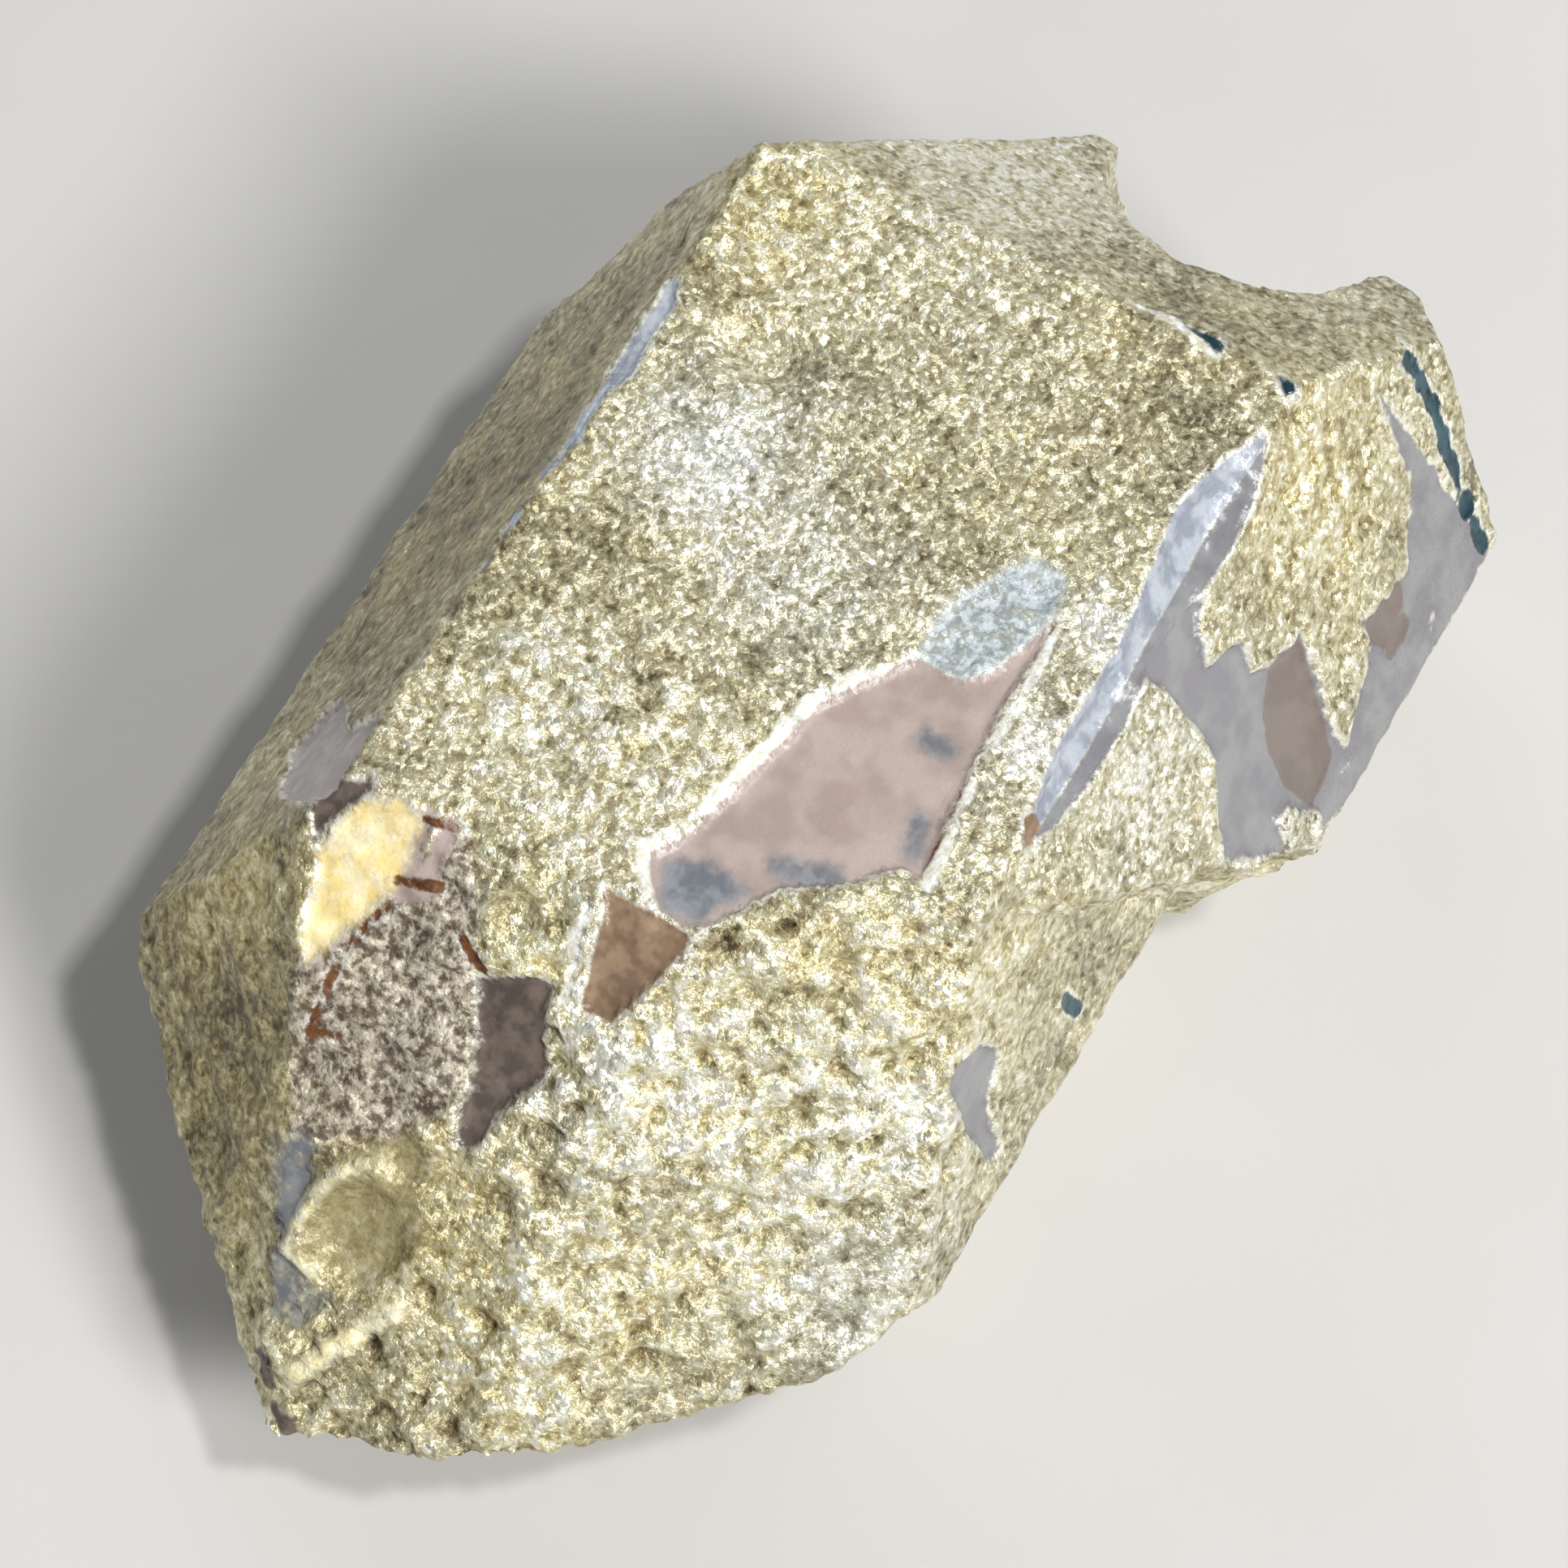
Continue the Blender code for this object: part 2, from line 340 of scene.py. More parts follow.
MAUVE_PATCH = ((-7.5, -0.9), (-6.9, -0.3), (-6.2, 0.1), (-5.1, -0.5), (-3.6, -0.9), (-1.4, -1.4),
               (-0.3, -1.6), (1.1, -2.4), (2.2, -3.1), (2.2, -4.7), (3.2, -5.4), (5.2, -5.9), (1.1, -6.0),
               (-0.3, -6.1), (-3.4, -6.5), (-3.3, -5.9), (-4.4, -5.0), (-5.4, -3.4), (-7.1, -2.5),
               (-7.7, -1.8))
VEIL_PATCH = ((3.7, -3.1), (4.5, -3.4), (5.5, -3.9), (6.4, -4.6), (6.3, -5.6), (4.8, -5.8), (3.0, -5.3),
              (2.2, -4.7), (2.2, -3.3))
SMOOTH_RIGHT = ((8.1, 2.9), (7.4, 2.3), (7.0, 1.2), (7.9, 1.0), (8.4, 0.6), (8.1, -0.5), (8.8, -0.9),
                (10.3, -1.3), (9.9, -3.0), (9.4, -4.9), (9.6, -5.6), (8.4, -6.9), (7.1, -7.3), (4.0, -3.6),
                (4.7, -2.1), (5.5, -0.8), (5.6, 0.4), (5.4, 2.3), (5.1, 3.2), (4.2, 4.1), (5.8, 4.6))
LENS_PATCH = ((10.2, -1.4), (8.7, -1.1), (7.8, -2.0), (7.3, -3.1), (7.1, -4.3), (7.5, -5.9), (9.1, -5.6),
              (9.8, -3.2))
GOLD_LUMP = ((6.1, -4.6), (6.7, -4.8), (7.6, -6.2), (6.9, -7.0), (5.9, -5.8))
BLURRED_ZONE = ((16.9, 1.2), (16.2, -2.2), (14.6, -3.9), (12.0, -4.3), (9.6, -5.6), (7.2, -7.2),
                (14.7, -6.9), (17.6, -6.9))
MAUVE_SPOT = ((12.1, -3.3), (14.2, -4.0), (13.6, -5.3), (12.4, -5.5))
LEFT_LILAC = ((-4.7, 1.0), (-6.3, -1.8), (-6.3, -4.0), (-7.7, -4.2), (-8.7, -3.8), (-8.9, -2.7),
              (-8.5, -0.6), (-7.9, 0.8), (-6.2, 2.4), (-5.0, 1.6))
PEACH_STAIN = ((0.2, 7.8), (0.6, 7.1), (0.5, 6.2), (-0.8, 6.3), (-1.6, 6.2), (-3.1, 6.8), (-4.8, 7.6),
               (-4.3, 8.0), (-1.9, 8.5), (-0.6, 8.3))
FROST_ZONE = ((-4.9, 7.8), (-1.6, 6.2), (0.7, 5.1), (-1.0, 3.9), (-2.9, 3.3), (-6.0, 2.3), (-8.2, 3.6),
              (-9.6, 6.1), (-7.0, 7.6))
DARK_PATCH = ((-2.9, 3.3), (-2.1, 2.0), (-2.0, 1.3), (-2.9, 1.1), (-4.5, 0.5), (-5.6, 1.0), (-7.4, 1.4),
              (-7.4, 1.9), (-6.0, 2.3), (-5.2, 2.3))
RED_TRIANGLE = ((1.3, 1.2), (1.3, 0.2), (1.2, -1.7), (-0.5, -1.2), (-2.2, -0.5), (-2.3, 0.4), (-1.3, 0.5),
                (0.5, 0.8))
CORNER_BAND = ((-0.9, 9.3), (0.2, 8.9), (0.8, 8.0), (0.5, 7.8), (-0.9, 8.6), (-1.7, 8.8))
RIDGE_MAUVE = ((-9.3, 5.4), (-11.1, 5.1), (-12.9, 5.2), (-13.0, 4.4), (-13.4, 3.5), (-14.6, 3.7),
               (-14.6, 5.2), (-11.8, 6.2), (-9.8, 6.7))
STEM_PATCH = ((-5.3, 3.1), (-4.5, 1.7), (-5.0, 1.1), (-5.5, 0.8), (-5.9, -0.3), (-5.7, -2.0), (-6.4, -1.6),
              (-6.7, 0.4), (-6.8, 3.0), (-6.1, 3.3))
RIDGE_BEVEL = ((9.0, 8.2), (5.0, 8.1), (2.5, 8.2), (0.4, 8.4), (-2.0, 8.5), (-4.2, 8.4))
BLADE = ((9.1, 8.3), (8.5, 7.7), (7.3, 7.8), (5.9, 7.7), (5.4, 7.9), (5.4, 8.4))

MARKS = (
    Mark(Marking.CREAM, Side.TIP_TOP, ((-15.7, 3.3), (-14.1, 2.4), (-12.5, 1.5)), 0.5, -0.12, smooth=False),
    Mark(Marking.CREAM, Side.TIP_TOP, ((-9.1, 4.0), (-10.2, 4.7), (-11.6, 5.0), (-12.7, 5.0), (-12.9, 4.1)),
         0.35, -0.2, smooth=False),
    Mark(Marking.OLIVE, Side.TIP_TOP, ((-10.0, 4.4), (-12.6, 4.6), (-12.8, 2.6), (-10.4, 1.6), (-8.8, 2.6)),
         smooth=False),
    Mark(Marking.OLIVE, Side.TIP_TOP, ((-7.4, 3.2), (-8.8, 4.2), (-9.3, 3.2), (-8.6, 2.2)), smooth=False),
    Mark(Marking.VEIL, Side.TOP, VEIL_PATCH, depth_mm=0.1, smooth=False),
    Mark(Marking.FROST, Side.TIP_TOP, FROST_ZONE, depth_mm=0.08, edge_mm=0.5, smooth=False),
    Mark(Marking.SMOKE, Side.UPPER_RIGHT, SMOOTH_RIGHT, depth_mm=0.26),
    Mark(Marking.SMOKE, Side.UPPER_RIGHT, BLURRED_ZONE, depth_mm=0.1, edge_mm=0.4, ragged_mm=0.15),
    Mark(Marking.LENS, Side.UPPER_RIGHT, LENS_PATCH, depth_mm=0.32, ragged_mm=0.03),
    Mark(Marking.LENS, Side.UPPER_RIGHT, MAUVE_SPOT, depth_mm=0.12, ragged_mm=0.2),
    Mark(Marking.LILAC, Side.TOP, BLADE, depth_mm=0.18, reach_mm=0.5, ragged_mm=0.05),
    Mark(Marking.LILAC, Side.TOP, RIDGE_BEVEL, 0.35, 0.05, ragged_mm=0.2, smooth=False),
    Mark(Marking.PEARL, Side.UPPER_LEFT, LEFT_LILAC, depth_mm=0.2),
    Mark(Marking.SMOKE, Side.STEM_RIGHT, STEM_PATCH, depth_mm=0.22),
    Mark(Marking.MAUVE, Side.TOP, MAUVE_PATCH, depth_mm=0.24, ragged_mm=0.09),
    Mark(Marking.MAUVE, Side.TIP_TOP, ((1.6, 5.6), (-1.4, 5.4), (-1.7, 6.0), (0.6, 6.2)), 0.5, 0.1,
         smooth=False),
    Mark(Marking.SLATE, Side.TOP, ((-7.4, -0.9), (-6.2, -0.3), (-5.6, -1.4), (-5.8, -2.7), (-7.4, -1.9)),
         reach_mm=0.5),
    Mark(Marking.SLATE, Side.TOP, ((0.3, -4.6), (0.3, -5.2)), 0.55, reach_mm=0.5),
    Mark(Marking.SLATE, Side.TOP, ((-4.9, -3.0), (-4.7, -3.8), (-4.4, -4.4)), 0.6, reach_mm=0.5),
    Mark(Marking.SLATE, Side.TOP, ((-1.9, -5.6), (-2.7, -5.9)), 0.5, reach_mm=0.5),
    Mark(Marking.SLATE, Side.TIP_TOP, RIDGE_MAUVE, depth_mm=0.08, ragged_mm=0.3, smooth=False),
    Mark(Marking.PEACH, Side.TIP_TOP, PEACH_STAIN, depth_mm=0.1, edge_mm=0.3),
    Mark(Marking.UMBER, Side.TIP_TOP, DARK_PATCH, depth_mm=0.25),
    Mark(Marking.UMBER, Side.TIP_TOP, CORNER_BAND, depth_mm=0.15, reach_mm=0.4),
    Mark(Marking.UMBER, Side.TIP_TOP, ((-16.0, 4.4), (-16.6, 4.0)), 0.5, reach_mm=0.5, smooth=False),
    Mark(Marking.UMBER, Side.TIP_TOP, ((-17.2, 3.5), (-17.5, 2.9)), 0.5, reach_mm=0.5, smooth=False),
    Mark(Marking.RUSSET, Side.TIP_TOP, RED_TRIANGLE, depth_mm=0.22, ragged_mm=0.04),
    Mark(Marking.RUSSET, Side.TOP, ((-0.4, -7.9), (-0.1, -8.4), (-1.3, -8.5)), depth_mm=0.1, reach_mm=0.5),
    Mark(Marking.RUSSET, Side.UPPER_LEFT, ((-5.7, -1.0), (-5.2, -1.4)), 0.3, reach_mm=0.3),
    Mark(Marking.WINDOW, Side.TOP, ((14.6, -3.9), (14.7, -4.8), (14.8, -6.1), (14.2, -5.9), (14.5, -5.2)),
         reach_mm=0.6),
    Mark(Marking.WINDOW, Side.TOP, ((14.6, -7.6), (14.6, -8.3), (14.0, -8.2)), reach_mm=0.6),
    Mark(Marking.WINDOW, Side.UPPER_RIGHT, ((18.4, 0.9), (18.3, -1.1), (17.7, -4.1), (17.4, -6.5)), 0.5,
         reach_mm=0.3, ragged_mm=0.3),
    Mark(Marking.WINDOW, Side.STEM_RIGHT, ((-1.7, -0.3), (-1.4, -1.4)), 0.5, reach_mm=0.3),
    Mark(Marking.CRACK, Side.TIP_TOP, ((-2.2, 6.2), (-3.8, 6.8), (-5.2, 6.8), (-6.7, 6.9), (-6.3, 6.1)),
         0.2, 0.12),
    Mark(Marking.CRACK, Side.TIP_TOP, ((-1.5, 6.3), (-1.0, 5.1)), 0.25, 0.12),
    Mark(Marking.CRACK, Side.TIP_TOP, ((0.5, 6.2), (0.7, 5.1)), 0.25, 0.12),
    Mark(Marking.CRACK, Side.TIP_TOP, ((-2.0, 3.9), (-2.6, 3.1)), 0.3, 0.12),
    Mark(Marking.CRACK, Side.TOP, ((5.0, -5.95), (3.0, -6.1), (1.1, -6.05), (-0.3, -6.15), (-3.2, -6.5)),
         0.12, 0.06, ragged_mm=0.03),
    # Painted highlights along the crust's raised edges round the bare patches.
    Mark(Marking.RIM_HIGHLIGHT, Side.TOP, ((-7.6, -0.7), (-6.9, -0.1), (-6.2, 0.3), (-5.1, -0.3), (-3.6, -0.7), (-1.4,
         -1.2),
                                 (-0.3, -1.4), (1.1, -2.2)), 0.26, -0.05, ragged_mm=0.16, smooth=False),
    Mark(Marking.RIM_HIGHLIGHT, Side.TOP, ((4.6, -6.1), (3.0, -6.3), (1.1, -6.25), (-0.3, -6.35), (-3.5, -6.75)),
         0.24, -0.05, ragged_mm=0.16, smooth=False),
    Mark(Marking.RIM_HIGHLIGHT, Side.TOP, ((14.8, -2.3), (14.7, -3.9), (14.2, -5.9)), 0.25, -0.04, smooth=False),
    Mark(Marking.RIM_HIGHLIGHT, Side.TIP_TOP, ((-2.3, 0.9), (-1.6, 0.9), (-0.4, 1.2), (0.6, 1.2)), 0.25, -0.04,
         ragged_mm=0.2, smooth=False),
)

GOLD_ISLAND = Mark(Marking.SMOKE, Side.UPPER_RIGHT, GOLD_LUMP, ragged_mm=0.15)

BOWLS = (
    Bowl(Side.TOP, 8.3, 5.0, 1.15, 1.7, 0.3, 0.05),
    Bowl(Side.TIP_TOP, -0.7, 2.9, 0.85, 0.85, 0.32, 0.14, 0.35),
    Bowl(Side.TIP_TOP, -11.3, 3.3, 1.8, 1.5, 0.4, 0.05),
    Bowl(Side.TIP_TOP, -8.6, 3.0, 0.8, 0.7, 0.2, 0.05),
    Bowl(Side.TIP_TOP, 2.6, -4.6, 0.5, 0.6, 0.18, 0.06),
)

# Each zone: its face, its middle along and across and its radius in mm, and how coarse, light and warm it is.
# The lightness is partly painted light and shade: low on the left-hand faces, which turn from the key light,
# as painted shade, and high where the light falls fullest.
BLOOMS = (
    Bloom(Side.UPPER_LEFT, 2.0, 0.0, 9.0, 0.3, 0.25, 0.6),
    Bloom(Side.TIP_LEFT, -4.0, 5.0, 6.0, 0.2, 0.22, 0.75),
    Bloom(Side.TIP_LEFT, 0.4, 2.2, 1.4, 0.35, 0.55, 1.0),
    Bloom(Side.TIP_LEFT, -1.2, 5.0, 1.2, 0.3, 0.5, 1.0),
    Bloom(Side.TOP, 4.8, 4.5, 2.8, 0.35, 1.0, 0.1),
    Bloom(Side.TOP, 0.7, 5.4, 1.6, 0.35, 0.35, 0.55),
    Bloom(Side.TOP, 3.1, 0.5, 2.5, 0.35, 0.75, 0.25),
    Bloom(Side.TOP, -3.4, 4.6, 2.8, 0.8, 0.85, 0.65),
    Bloom(Side.TOP, -4.8, 1.6, 2.6, 0.85, 0.8, 0.75),
    Bloom(Side.TOP, 12.9, -4.1, 4.0, 0.35, 0.22, 0.5),
    Bloom(Side.TOP, 8.3, -1.6, 3.0, 0.3, 0.32, 0.5),
    Bloom(Side.TOP, 12.4, 7.1, 2.4, 0.8, 0.7, 0.95),
    Bloom(Side.TOP, 13.3, 5.0, 2.0, 0.7, 0.5, 0.85),
    Bloom(Side.TOP, 5.4, -6.8, 1.0, 0.35, 0.9, 0.2),
    Bloom(Side.TOP, 1.5, -7.1, 1.3, 0.45, 0.95, 0.3),
    Bloom(Side.TIP_TOP, -3.4, -1.4, 3.4, 1.0, 0.9, 0.65),
    Bloom(Side.TIP_TOP, 2.3, -4.7, 2.6, 1.0, 0.55, 0.75),
    Bloom(Side.TIP_TOP_RIGHT, -1.0, -4.5, 3.2, 1.0, 0.85, 0.6),
    Bloom(Side.TIP_TOP_RIGHT, -5.6, -7.2, 2.6, 0.5, 0.7, 0.2),
    Bloom(Side.TIP_TOP, -10.8, -1.0, 3.0, 0.75, 0.7, 0.75),
    Bloom(Side.TIP_TOP, -15.3, 0.7, 2.0, 0.9, 0.4, 0.6),
    Bloom(Side.TIP_TOP, -9.3, 1.1, 1.8, 0.5, 0.45, 0.8),
    Bloom(Side.UPPER_RIGHT, 3.5, 1.0, 3.0, 0.4, 0.8, 0.35),
    Bloom(Side.UPPER_RIGHT, 13.9, 0.6, 3.2, 0.8, 0.7, 1.0),
    Bloom(Side.STEM_RIGHT, -4.5, 5.0, 2.2, 0.4, 0.85, 0.85),
    Bloom(Side.END_SLOPE, 2.0, 0.0, 5.0, 0.2, 0.6, 0.5),
    Bloom(Side.END_SLOPE, 10.5, 3.0, 4.5, 0.15, 1.0, 0.6),
    Bloom(Side.END_RIGHT, 2.0, 3.0, 4.0, 0.15, 0.6, 0.5),
)


@dataclass
class CrystalForm:
    """The crystal's solid shape, cut from its faces, and its fine skin."""

    blank_size: float = 90.0 * MM
    voxel: float = 0.21 * MM
    dip_centre: Vector = Vector((22.3, -3.4, 15.5)) * MM
    dip_radii: Vector = Vector((4.6, 4.3, 9.0)) * MM
    groove_line: tuple[tuple[float, float, float, float], ...] = (
        (-0.9, -8.4, 19.3, 0.05), (0.0, -8.45, 19.15, 0.35), (1.2, -8.45, 19.15, 0.6),
        (3.6, -8.45, 19.15, 0.66), (5.0, -8.4, 19.25, 0.55), (6.2, -8.35, 19.35, 0.62),
        (7.6, -8.35, 19.4, 0.8), (9.4, -8.3, 19.45, 1.0), (10.6, -8.3, 19.45, 0.9),
        (11.6, -8.3, 19.5, 0.55), (12.6, -8.3, 19.55, 0.1))
    groove_stations: int = 90
    groove_corners: int = 32

    def link(self, name: str, form: bmesh.types.BMesh) -> bpy.types.Object:
        """Turn a bmesh into a named object in the scene.

        Args:
            name: The object's name.
            form: The mesh, which is used up.

        Returns:
            The new object.
        """
        bmesh.ops.recalc_face_normals(form, faces=form.faces)
        mesh = bpy.data.meshes.new(name)
        form.to_mesh(mesh)
        form.free()
        made = bpy.data.objects.new(name, mesh)
        bpy.context.scene.collection.objects.link(made)
        return made

    def slice_off(self, form: bmesh.types.BMesh, point: Vector, normal: Vector) -> None:
        """Cut away everything outside one plane and close the cut.

        Args:
            form: The mesh that is cut.
            point: A point of the plane.
            normal: The plane's normal, towards what goes.
        """
        geometry = [*form.verts, *form.edges, *form.faces]
        cut = bmesh.ops.bisect_plane(form, geom=geometry, dist=1e-7, plane_co=point,
                                     plane_no=normal, clear_outer=True)
        rim = [item for item in cut["geom_cut"] if isinstance(item, bmesh.types.BMEdge)]
        if rim:
            bmesh.ops.contextual_create(form, geom=rim)

    def block(self, name: str, inside: tuple[Side, ...], outside: tuple[Side, ...] = ()) -> bpy.types.Object:
        """Cut a block down to a solid inside some faces and outside others.

        Args:
            name: The object's name.
            inside: Faces that the solid lies inside.
            outside: Faces that the solid lies outside.

        Returns:
            The solid.
        """
        form = bmesh.new()
        bmesh.ops.create_cube(form, size=self.blank_size)
        for side in inside:
            self.slice_off(form, side.value.point(), side.value.normal())
        for side in outside:
            self.slice_off(form, side.value.point(), -side.value.normal())
        return self.link(name, form)

    def rounded(self, name: str, centre: Vector, radii: Vector) -> bpy.types.Object:
        """Make a rounded cutting shape.

        Args:
            name: The object's name.
            centre: Its middle.
            radii: Its radii along the axes.

        Returns:
            The cutting shape.
        """
        form = bmesh.new()
        bmesh.ops.create_icosphere(form, subdivisions=5, radius=1.0)
        place = Matrix.Translation(centre) @ Matrix.Diagonal((*radii, 1.0))
        bmesh.ops.transform(form, matrix=place, verts=form.verts)
        return self.link(name, form)

    def groove_at(self, along: np.ndarray) -> tuple[np.ndarray, np.ndarray, np.ndarray]:
        """Read the groove's line.

        Args:
            along: Places along the crystal in mm.

        Returns:
            The line's place across, its height and the groove's radius there, in mm.
        """
        line = np.array(self.groove_line)
        across, height, radius = (np.interp(along, line[:, 0], line[:, column]) for column in (1, 2, 3))
        return across, height, radius

    def groove_cutter(self) -> bpy.types.Object:
        """Make the long drop that hollows the upper right ridge."""
        stations = np.linspace(self.groove_line[0][0], self.groove_line[-1][0], self.groove_stations)
        form = bmesh.new()
        rings = []
        for along, across, height, radius in zip(stations, *self.groove_at(stations)):
            turns = [2 * pi * corner / self.groove_corners for corner in range(self.groove_corners)]
            middle = Vector((along, across, height))
            ring = [middle + Vector((0, cos(turn), sin(turn))) * float(radius) for turn in turns]
            rings.append([form.verts.new(place * MM) for place in ring])
        for ring, following in zip(rings, rings[1:]):
            for corner in range(self.groove_corners):
                beside = (corner + 1) % self.groove_corners
                form.faces.new((ring[corner], ring[beside], following[beside], following[corner]))
        form.faces.new(rings[0])
        form.faces.new(rings[-1])
        return self.link("groove_cutter", form)

    def groove_distance(self, places: np.ndarray) -> tuple[np.ndarray, np.ndarray]:
        """Measure how points lie to the groove's wall.

        Args:
            places: Points in mm, one a row.

        Returns:
            Each point's distance from the wall, and how far it is past the dark side's border, in mm.
        """
        across, height, radius = self.groove_at(places[:, 0])
        beside = places[:, 1] - across
        away = np.abs(np.hypot(beside, places[:, 2] - height) - radius)
        reach = np.maximum(self.groove_line[0][0] - places[:, 0], places[:, 0] - self.groove_line[-1][0])
        return np.maximum(away, reach), beside - 0.25 * radius

    def build(self, name: str) -> bpy.types.Object:
        """Cut the crystal and wrap it in a fine, even skin.

        Args:
            name: The object's name.

        Returns:
            The crystal with plain flat faces.
        """
        body = self.block(name, tuple(side for side in Side if side not in STEP_SIDES))
        cutters = (
            self.block("ledge_cutter", (), (Side.LEDGE, Side.STEM_RIGHT)),
            self.block("under_ledge_cutter", (), (Side.LEDGE, Side.STEM_LOWER_RIGHT)),
            self.rounded("dip_cutter", self.dip_centre, self.dip_radii),
            self.groove_cutter(),
        )
        for cutter in cutters:
            cut = body.modifiers.new(cutter.name, "BOOLEAN")
            cut.operation = "DIFFERENCE"
            cut.solver = "EXACT"
            cut.object = cutter
        skin = body.modifiers.new("skin", "REMESH")
        skin.mode = "VOXEL"
        skin.voxel_size = self.voxel
        depsgraph = bpy.context.evaluated_depsgraph_get()
        mesh = bpy.data.meshes.new_from_object(body.evaluated_get(depsgraph))
        body.modifiers.clear()
        rough_mesh = body.data
        body.data = mesh
        bpy.data.meshes.remove(rough_mesh)
        mesh.name = name
        for cutter in cutters:
            bpy.data.objects.remove(cutter, do_unlink=True)
        return body


@dataclass
class CrustRelief:
    """The crust's relief, worked out for every point of the skin."""

    form: CrystalForm
    lump_mm: float = 2.2
    tip_lump_mm: float = 0.26
    side_lump_mm: float = 0.09
    grain_mm: float = 0.2
    pit_mm: float = 0.3
    groove_margin_mm: float = 0.14
    rest_band_mm: float = 0.12

    def measure(self, body: bpy.types.Object) -> None:
        """Read the skin's points and normals.

        Args:
            body: The crystal with its plain skin.
        """
        count = len(body.data.vertices)
        places = np.empty(count * 3, dtype=np.float32)
        normals = np.empty(count * 3, dtype=np.float32)
        body.data.vertices.foreach_get("co", places)
        body.data.vertices.foreach_get("normal", normals)
        self.places = places.reshape(-1, 3).astype(float) / MM
        self.normals = normals.reshape(-1, 3).astype(float)

    def settle_zones(self) -> None:
        """Work out how coarse and warm the crust is at each point, and how light it is painted, partly as
        painted light and shade.
        """
        self.tip = ease(-self.normals[:, 0], 0.2, 0.6)
        self.coarse = 0.35 + 0.5 * self.tip
        self.light = np.full(len(self.places), 0.5)
        self.warm = 0.4 + 0.2 * self.tip
        for bloom in BLOOMS:
            share = bloom.share(self.places)
            self.coarse += share * (bloom.coarse - self.coarse)
            self.light += share * (bloom.light - self.light)
            self.warm += share * (bloom.warm - self.warm)

    def settle_marks(self) -> None:
        """Measure each kind of marking, and how deep and how bare the skin is there."""
        count = len(self.places)
        fray = cloud(self.places, 0.6, 3, 11.0)
        self.marks = {marking: np.full(count, 3.0) for marking in Marking}
        self.sunk = np.zeros(count)
        self.bare = np.zeros(count)
        self.grain = np.ones(count)
        self.bare_edge = np.full(count, 3.0)
        island = GOLD_ISLAND.distance(self.places) + fray * GOLD_ISLAND.ragged_mm
        for mark in MARKS:
            away = mark.distance(self.places) + fray * mark.ragged_mm
            if mark.marking in (Marking.SMOKE, Marking.LENS):
                away = np.maximum(away, -island)
            self.add_mark(mark, away)
        wall, past_border = self.form.groove_distance(self.places)
        self.groove = wall - self.groove_margin_mm
        self.add_mark(Mark(Marking.LILAC, Side.TOP, ()), np.maximum(self.groove, -past_border))
        self.add_mark(Mark(Marking.SMOKE, Side.TOP, ()), np.maximum(self.groove, past_border))

    def add_mark(self, mark: Mark, away: np.ndarray) -> None:
        """Lay one mark over the skin.

        Args:
            mark: The mark.
            away: Each point's distance from its edge in mm, negative inside.
        """
        self.marks[mark.marking] = np.minimum(self.marks[mark.marking], away)
        inside = ease(-away, -mark.edge_mm, mark.edge_mm)
        self.grain += inside * (mark.marking.value.grain - self.grain)
        deeper = np.abs(mark.depth_mm) * inside > np.abs(self.sunk)
        self.sunk = np.where(deeper, mark.depth_mm * inside, self.sunk)
        if mark.smooth:
            self.bare = np.maximum(self.bare, inside)
            self.bare_edge = np.minimum(self.bare_edge, away)

    def pits(self) -> np.ndarray:
        """Return the pits of the coarse crust: 0 between them and 1 at the bottom of the deepest."""
        near, _, draw = cells(self.places, 0.8)
        wide = 0.22 + 0.38 * draw
        small_near, _, small_draw = cells(self.places, 0.45, 5.0)
        small_wide = 0.2 + 0.35 * small_draw
        pit = ease(wide - near, 0.0, 0.3)
        small_pit = ease(small_wide - small_near, 0.0, 0.3)
        return np.maximum(pit, 0.7 * small_pit)

    def raise_crust(self) -> np.ndarray:
        """Work out how far each point of the skin moves outwards.

        Returns:
            One height in mm for each point.
        """
        lumps = cloud(self.places, self.lump_mm, 3)
        grain = cloud(self.places, 0.75, 3, 3.0)
        knobs = np.abs(cloud(self.places, 1.1, 2, 7.0))
        pits = self.pits()
        calm = np.zeros(len(self.places))
        for bowl in BOWLS:
            calm = np.maximum(calm, ease(1.5 - bowl.rings(self.places), 0.0, 0.5))
        height = lumps * (self.side_lump_mm + (self.tip_lump_mm - self.side_lump_mm) * self.tip)
        crust = (1 - 0.92 * self.bare) * (1 - 0.75 * calm)
        # The relief is kept for the colour too, which paints the raised grains lighter and the pits darker:
        # painted light and shade.
        self.relief = (grain * 0.9 - pits * 1.1 + 0.25) * (1 - 0.7 * calm)
        rough = self.coarse ** 1.5
        height += crust * rough * (grain * self.grain_mm - pits * self.pit_mm + (0.3 - knobs) * 0.16)
        height += crust * (1 - rough) * grain * 0.05
        height += 0.05 * crust * ease(-self.bare_edge, -0.35, -0.1)
        height -= self.sunk
        knobs_along = cloud(self.places * np.array((1.0, 0.4, 0.4)), 0.5, 2, 9.0)
        height += ease(-self.groove, -0.1, 0.1) * knobs_along * 0.14
        for bowl in BOWLS:
            rings = bowl.rings(self.places)
            height -= bowl.depth_mm * ease(1 - rings, 0.0, 0.55)
            height += bowl.lip_mm * np.exp(-(((rings - 1.15) / bowl.lip_width) ** 2))
        return height

